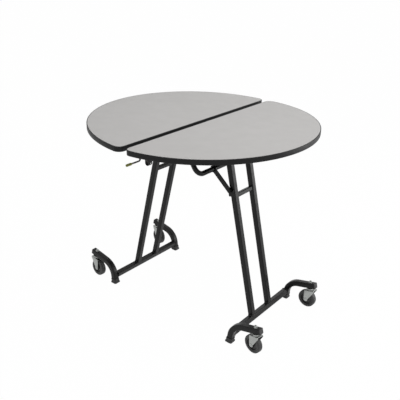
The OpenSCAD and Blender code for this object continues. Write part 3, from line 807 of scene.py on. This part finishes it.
class TABLE_OT_casters(bpy.types.Operator):
    """Makes the casters: race, king pin and nut, pressed fork, axle heads, hub and tyre"""

    bl_idname = "table.casters"
    bl_label = "Casters"

    # Radii and width of the wheel, and where its fork's cheeks stand, in mm.
    WHEEL = 37.5
    HUB = 28
    WIDTH = 22
    FORK_GAP = 12.6
    # The fork's plate, its lengths along and down from the king pin, and the pin's own drops.
    FORK_T = 2.5 * MM
    BACK = 17 * MM
    FRONT = 26 * MM
    FOOT = 9 * MM
    HEEL = 8 * MM
    CROWN_DROP = 8.3 * MM
    CROWN_MIDDLE = 2.2 * MM
    CROWN_T = 3.4 * MM
    CROWN_SHORT = 1 * MM
    SETBACK = 1.2 * MM
    KING_HEAD_DROP = 15.2 * MM
    WASHER_T = 1.0 * MM
    # How far the foot of a cheek, a cheek's edges, the crown and the nut are rounded.
    FOOT_ROUND = 6 * MM
    CHEEK_ROUND = 0.7 * MM
    CROWN_ROUND = 1.4 * MM
    NUT_ROUND = 0.3 * MM
    # Turned profiles, as radius and height in mm.
    RACE = ((0, 0), (12.5, 0), (15.2, -0.6), (16, -1.6), (16, -2.9), (15.2, -3.5), (14.0, -3.8),
            (14.0, -4.5), (15.4, -4.9), (15.8, -5.8), (15.0, -7.2), (12.0, -8), (0, -8))
    KING_HEAD = ((0, 0.4), (2.6, 0), (4.0, 0.2), (6.5, 1.0), (7.0, 1.6), (7.0, 2.6), (0, 2.6))
    WASHER = ((4.05, 0), (7.7, 0), (8, 0.3), (8, 0.7), (7.7, 1.0), (4.05, 1.0))
    NUT = 7 * MM
    NUT_STEPS = ((0.5, 1.0), (3.8, 1.0), (0.7, 0.87))
    NUT_EDGE_ANGLE = math.radians(25)
    # The thread, in mm: its turns, pitch, lowest root, radii at root and crest, and the pin's end.
    TURNS = 4
    PITCH = 0.7
    FIRST_ROOT = 5.8
    ROOT = 3.5
    CREST = 4.0
    PIN_END = 9.0
    SEAT = ((4.1, 0), (11, 0), (14.2, -0.5), (15, -1.5), (15, -3.2), (14.2, -4), (4.1, -4))
    AXLE_HEAD = ((0, 0), (6.5, 0), (6.4, 0.7), (5.2, 1.9), (3.0, 2.5), (2.2, 2.6), (1.8, 2.1), (0, 2.1))

    def execute(self, context):
        for name in CASTERS:
            place = caster_place(name)
            side = name.split("_")[1]
            axle = (place.inverted() @ joint_place(name + "_roll")).translation
            self.race(name, side, place)
            self.nut(name, side, place)
            self.fork(name, place, axle)
            self.axle(name, place @ Matrix.Translation(axle))
            wheel = place @ Matrix.Translation(axle) @ Matrix.Rotation(math.pi / 2, 4, "X")
            self.tyre(name, wheel)
            self.hub(name, wheel)
        return {"FINISHED"}

    def turned(self, name, profile, place, height, body, segments, names=()):
        """A plated piece turned from a profile, at a height on the king pin."""
        build = bmesh.new()
        revolve(build, profile, segments)
        make_piece(name, build, place @ Matrix.Translation((0, 0, height)), "bright_zinc", body, names)

    def race(self, name, side, place):
        """Two pressed cups with the ball track between them, fixed under the arm, and the pin's head."""
        top = -ARM / 2
        body = side + "_leg_frame"
        names = [side + "_caster_stems"] if name.startswith("near") else []
        self.turned(name + "_race", self.RACE, place, top, body, segments=48, names=names)
        self.turned(name + "_king_head", self.KING_HEAD, place, top - self.KING_HEAD_DROP, body, segments=32)

    def nut(self, name, side, place):
        """Washer, chamfered hexagon nut and the threaded end of the king pin."""
        top = ARM / 2
        body = side + "_leg_frame"
        names = [side + "_caster_nuts"] if name.startswith("near") else []
        self.turned(name + "_washer", self.WASHER, place, top, body, segments=40, names=names)
        build = bmesh.new()
        bmesh.ops.create_circle(build, segments=6, radius=self.NUT)
        loop = build.edges[:]
        capped(build, loop)
        for rise, share in self.NUT_STEPS:
            loop = stepped(build, loop, rise * MM, share)
        capped(build, loop)
        bevelled(build, sharp_edges(build, self.NUT_EDGE_ANGLE), self.NUT_ROUND, segments=2)
        at = Matrix.Translation((0, 0, top + self.WASHER_T))
        make_piece(name + "_nut", build, place @ at, "bright_zinc", body)
        profile = [(0, self.FIRST_ROOT - 0.2)]
        for turn in range(self.TURNS):
            root = self.FIRST_ROOT + self.PITCH * turn
            profile += [(self.ROOT, root), (self.CREST, root + self.PITCH / 2)]
        profile += [(self.ROOT - 0.1, self.PIN_END), (0, self.PIN_END)]
        self.turned(name + "_thread", profile, place, top, body, segments=24)

    def fork(self, name, place, axle):
        """Pressed steel fork: a crown plate with a round seat, and cheeks that taper to the axle."""
        crown = -ARM / 2 - self.CROWN_DROP
        gap = self.FORK_GAP * MM
        body = name + "_caster"
        self.turned(name + "_fork_seat", self.SEAT, place, crown, body, segments=48, names=[name + "_fork"])
        top, toe = crown - self.SETBACK, self.FOOT - self.SETBACK
        outline = [(-self.BACK, top), (self.FRONT, top),
                   (axle.x + self.FOOT, axle.z), (axle.x + toe, axle.z - self.FOOT),
                   (axle.x - toe, axle.z - self.FOOT), (axle.x - self.FOOT, axle.z),
                   (-self.BACK, crown - self.HEEL)]
        for side, y in (("a", -gap - self.FORK_T), ("b", gap)):
            build = bmesh.new()
            verts = [build.verts.new((x, y, z)) for x, z in outline]
            build.faces.new(verts)
            bmesh.ops.bevel(build, geom=verts[3:5], offset=self.FOOT_ROUND, offset_type="OFFSET",
                            affect="VERTICES", segments=7, profile=0.5, material=-1)
            made = bmesh.ops.extrude_face_region(build, geom=build.faces[:])["geom"]
            moved = of_kind(made, bmesh.types.BMVert)
            bmesh.ops.translate(build, verts=moved, vec=(0, self.FORK_T, 0))
            bmesh.ops.recalc_face_normals(build, faces=build.faces)
            bevelled(build, sharp_edges(build), self.CHEEK_ROUND, segments=3)
            make_piece(name + "_cheek_" + side, build, place, "bright_zinc", body)
        build = bmesh.new()
        middle = Matrix.Translation(((self.FRONT - self.BACK) / 2, 0, crown - self.CROWN_MIDDLE))
        length = self.FRONT + self.BACK - self.CROWN_SHORT
        span = Matrix.Diagonal((length, 2 * (gap + self.FORK_T), self.CROWN_T, 1))
        bmesh.ops.create_cube(build, size=1, matrix=middle @ span)
        bevelled(build, build.edges[:], self.CROWN_ROUND, segments=4)
        make_piece(name + "_fork_crown", build, place, "bright_zinc", body)

    def axle(self, name, place):
        """The axle's domed rivet heads, one outside each cheek."""
        out = self.FORK_GAP * MM + self.FORK_T
        for side, sign in (("a", 1), ("b", -1)):
            build = bmesh.new()
            revolve(build, self.AXLE_HEAD, segments=28)
            turn = Matrix.Rotation(-sign * math.pi / 2, 4, "X")
            move = Matrix.Translation((0, sign * out, 0))
            names = [name + "_axle"] if side == "a" else []
            make_piece(name + "_axle_head_" + side, build, place @ move @ turn, "bright_zinc",
                       name + "_caster", names)

    def tyre(self, name, wheel):
        """Tyre with rounded shoulders, a crowned tread and a fine parting line."""
        build = bmesh.new()
        outer, half, inner = self.WHEEL, self.WIDTH / 2, self.HUB
        # One shoulder's profile, as radius and height in mm, up to the middle of the tread.
        lower = [(inner, -half + 1.2), (inner + 0.8, -half), (outer - 4.2, -half),
                 (outer - 2.3, -half + 0.7), (outer - 0.9, -half + 2.2), (outer - 0.25, -half + 4.5),
                 (outer, -0.5)]
        upper = [(radius, -height) for radius, height in reversed(lower)]
        revolve(build, [*lower, (outer - 0.12, 0), *upper], segments=96)
        make_piece(name + "_tread", build, wheel, "tyre_rubber", name + "_wheel", [name + "_tyre"])

    def hub(self, name, wheel):
        """Moulded hub: rim, dished web with a raised ring, and a boss with its bearing cover."""
        build = bmesh.new()
        rim, half, boss = self.HUB, self.WIDTH / 2, self.FORK_GAP - 0.4
        # One face's profile, as radius and height in mm, from the bore out to the rim.
        face = [(4.05, boss), (9.2, boss), (9.8, boss - 0.6), (10.4, 5.0), (11.5, 4.2), (18.5, 3.6),
                (19.2, 4.4), (20.4, 4.4), (21.2, 3.6), (22.6, 4.2), (23.6, half - 2.0), (24.6, half - 1.2),
                (27.4, half - 1.2), (rim, half - 1.8)]
        profile = face + [(radius, -height) for radius, height in reversed(face)]
        revolve(build, profile, segments=80)
        make_piece(name + "_wheel_centre", build, wheel, "hub_plastic", name + "_wheel", [name + "_hub"])


class TABLE_OT_braces(bpy.types.Operator):
    """Makes the bent brace tubes with their flattened ends"""

    bl_idname = "table.braces"
    bl_label = "Brace tubes"

    TUBE = 9.5 * MM
    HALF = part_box("right_brace_bar")[1].y - TUBE
    BEND = 30 * MM
    FLAT = 30 * MM
    EASE = 12 * MM
    SQUEEZE = 0.42
    ROUND_OFF = 0.93
    # Short runs that make up the flattened length at each end, in mm.
    END_RUNS = (1, 1.5, 2, 2.5, 2.5, 4, 4, 3, 3, 3, 3.5)

    def execute(self, context):
        rise = BRACE_PIVOT - BRACE_BAR
        lean = Matrix.Rotation(math.atan2(rise.x, rise.z), 4, "Y")
        start = Matrix.Translation((0, -self.HALF, rise.length + self.TUBE))
        bar = Matrix.Translation(BRACE_BAR) @ lean @ start @ Matrix.Rotation(math.pi, 4, "X")
        for side in SIDES:
            build = bmesh.new()
            bmesh.ops.create_circle(build, segments=32, radius=self.TUBE)
            end = [(length * MM,) for length in self.END_RUNS]
            run = rise.length + self.TUBE - self.BEND - self.FLAT
            bend = (math.pi / 2, self.BEND, (0, -1, 0))
            cross = 2 * (self.HALF - self.BEND)
            steps = [*end, (run,), bend, (cross,), bend, (run,), *reversed(end)]
            swept(build, build.edges[:], steps, segments=18)
            self.flatten(build)
            place = bar if side == "right" else HALF_TURN @ bar
            make_piece(side + "_brace_tube", build, place, "frame_paint", side + "_brace",
                       [side + "_brace_bar"])
        return {"FINISHED"}

    def flatten(self, build):
        """Presses both ends flat and rounds them off past their pins."""
        for vert in build.verts:
            if vert.co.z >= self.FLAT:
                continue
            arm_y = 0 if vert.co.y > -self.HALF else -2 * self.HALF
            share = min(1.0, (self.FLAT - vert.co.z) / self.EASE)
            # Eased in and out.
            share = share * share * (3 - 2 * share)
            round_off = max(0.0, 1 - vert.co.z / self.TUBE) * self.ROUND_OFF
            vert.co.x *= math.sqrt(1 - round_off ** 2)
            vert.co.y = arm_y + (vert.co.y - arm_y) * (1 - (1 - self.SQUEEZE) * share)


class TABLE_OT_lever(bpy.types.Operator):
    """Makes the bent lever rod and its dipped grip"""

    bl_idname = "table.lever"
    bl_label = "Release lever"

    ROD = 3 * MM
    TIP_Y = -416 * MM
    LOW_Z = 695 * MM
    HIGH_Z = 716 * MM
    BEND = 4.5 * MM
    # How far out from the pin the rod crests, starts down and levels off.
    CREST = 24 * MM
    DOWN = 29 * MM
    LEVEL = 45 * MM
    SHORT_OF_TIP = 6 * MM
    # The grip, in mm: its length, its turned nose, a ring's groove and the mouth round the rod.
    GRIP = 4.6
    GRIP_LENGTH = 25
    NOSE = ((0, 0), (2.4, 0.35), (3.9, 1.4), (GRIP, 3.2))
    RINGS = 4
    FIRST_RING = 6
    RING_PITCH = 2.6
    GROOVE = ((GRIP, 0), (GRIP - 0.3, 0.7), (GRIP - 0.3, 1.2), (GRIP, 1.9))
    MOUTH = ((GRIP, -1.6), (GRIP - 0.5, -0.4), (3.3, 0), (0, 0))
    # Turned profile of the eye on the pin, as radius and height in mm, and its squash along the pin.
    EYE = ((0, -4.6), (6, -4.6), (6, -3.4), (4.4, -3.2), (4.4, 3.2), (6, 3.4), (6, 4.6), (0, 4.6))
    EYE_SQUASH = 3.2 / 4.6

    def execute(self, context):
        pivot = Vector(joints["lever_pull"]["pos_m"])
        path = [(pivot.y, pivot.z), (pivot.y - self.CREST, self.HIGH_Z), (pivot.y - self.DOWN, self.HIGH_Z),
                (pivot.y - self.LEVEL, self.LOW_Z), (self.TIP_Y + self.SHORT_OF_TIP, self.LOW_Z)]
        build = bmesh.new()
        bmesh.ops.create_circle(build, segments=20, radius=self.ROD)
        points = [Vector(point) for point in path]
        aims = [math.atan2(-(b - a).x, (b - a).y) for a, b in zip(points, points[1:])]
        turns = [b - a for a, b in zip(aims, aims[1:])]
        cuts = [0] + [self.BEND * math.tan(abs(turn) / 2) for turn in turns] + [0]
        steps = []
        for index, (a, b) in enumerate(zip(points, points[1:])):
            steps.append(((b - a).length - cuts[index] - cuts[index + 1],))
            if index < len(turns):
                towards = (0, -math.copysign(1, turns[index]), 0)
                steps.append((abs(turns[index]), self.BEND, towards))
        swept(build, build.edges[:], steps, segments=10)
        place = Matrix.Translation((0, pivot.y, pivot.z)) @ Matrix.Rotation(aims[0], 4, "X")
        make_piece("lever_rod", build, place, "lever_steel", "lever", ["release_lever"])
        build = bmesh.new()
        revolve(build, self.EYE, segments=32)
        turn = Matrix.Rotation(math.pi / 2, 4, "Y")
        thin = Matrix.Diagonal((1, 1, self.EYE_SQUASH, 1))
        make_piece("lever_eye", build, Matrix.Translation(pivot) @ turn @ thin, "lever_steel", "lever")
        build = bmesh.new()
        profile = list(self.NOSE)
        for ring in range(self.RINGS):
            start = self.FIRST_RING + self.RING_PITCH * ring
            profile += [(radius, start + along) for radius, along in self.GROOVE]
        profile += [(radius, self.GRIP_LENGTH + along) for radius, along in self.MOUTH]
        revolve(build, profile, segments=32)
        place = Matrix.Translation((0, self.TIP_Y, self.LOW_Z)) @ Matrix.Rotation(-math.pi / 2, 4, "X")
        make_piece("lever_dipped_grip", build, place, "grip_plastic", "lever", ["lever_grip"])
        return {"FINISHED"}


class TABLE_OT_finishes(bpy.types.Operator):
    """Gives every carried-over part its finish, and rounds its cut edges a little"""

    bl_idname = "table.finishes"
    bl_label = "Finishes"

    def execute(self, context):
        sizes = context.scene.table_sizes
        made = all_materials(context.scene.table_colours, sizes)
        for name, part in nodes.items():
            slot = node_material(name)
            part.data.materials.clear()
            part.data.materials.append(made[slot])
            self.round_edges(part, sizes.edge_round)
        return {"FINISHED"}

    def round_edges(self, part, width):
        """Joins the part's loose triangles, bevels its sharp edges and smooths its shading."""
        weld = part.modifiers.new("weld", "WELD")
        weld.merge_threshold = 1e-6
        bevel = part.modifiers.new("round", "BEVEL")
        bevel.width = width
        bevel.segments = 2
        bevel.limit_method = "ANGLE"
        bevel.angle_limit = SHARP_ANGLE
        bevel.harden_normals = False
        for polygon in part.data.polygons:
            polygon.use_smooth = True
        smooth = part.modifiers.new("normals", "WEIGHTED_NORMAL")
        smooth.keep_sharp = False
        smooth.weight = 100


class TABLE_PT_table(bpy.types.Panel):
    """Lists the table's settings and the operators that make its pieces"""

    bl_label = "Room service table"
    bl_space_type = "VIEW_3D"
    bl_region_type = "UI"
    bl_category = "Table"

    def draw(self, context):
        layout = self.layout
        for settings in (context.scene.table_sizes, context.scene.table_colours):
            for name in settings.bl_rna.properties.keys():
                if name not in ("rna_type", "name"):
                    layout.prop(settings, name)
        for operator in OPERATORS:
            layout.operator(operator.bl_idname)


OPERATORS = (TABLE_OT_stage, TABLE_OT_finishes, TABLE_OT_tops, TABLE_OT_feet, TABLE_OT_welds,
             TABLE_OT_casters, TABLE_OT_braces, TABLE_OT_lever)
CLASSES = (TableSizes, TableColours, *OPERATORS, TABLE_PT_table)


def register():
    for cls in CLASSES:
        bpy.utils.register_class(cls)
    bpy.types.Scene.table_sizes = PointerProperty(type=TableSizes)
    bpy.types.Scene.table_colours = PointerProperty(type=TableColours)


def unregister():
    del bpy.types.Scene.table_colours
    del bpy.types.Scene.table_sizes
    for cls in reversed(CLASSES):
        bpy.utils.unregister_class(cls)


def main():
    register()
    for operator in OPERATORS:
        name = operator.bl_idname.split(".")[1]
        getattr(bpy.ops.table, name)()


if __name__ == "__main__":
    main()
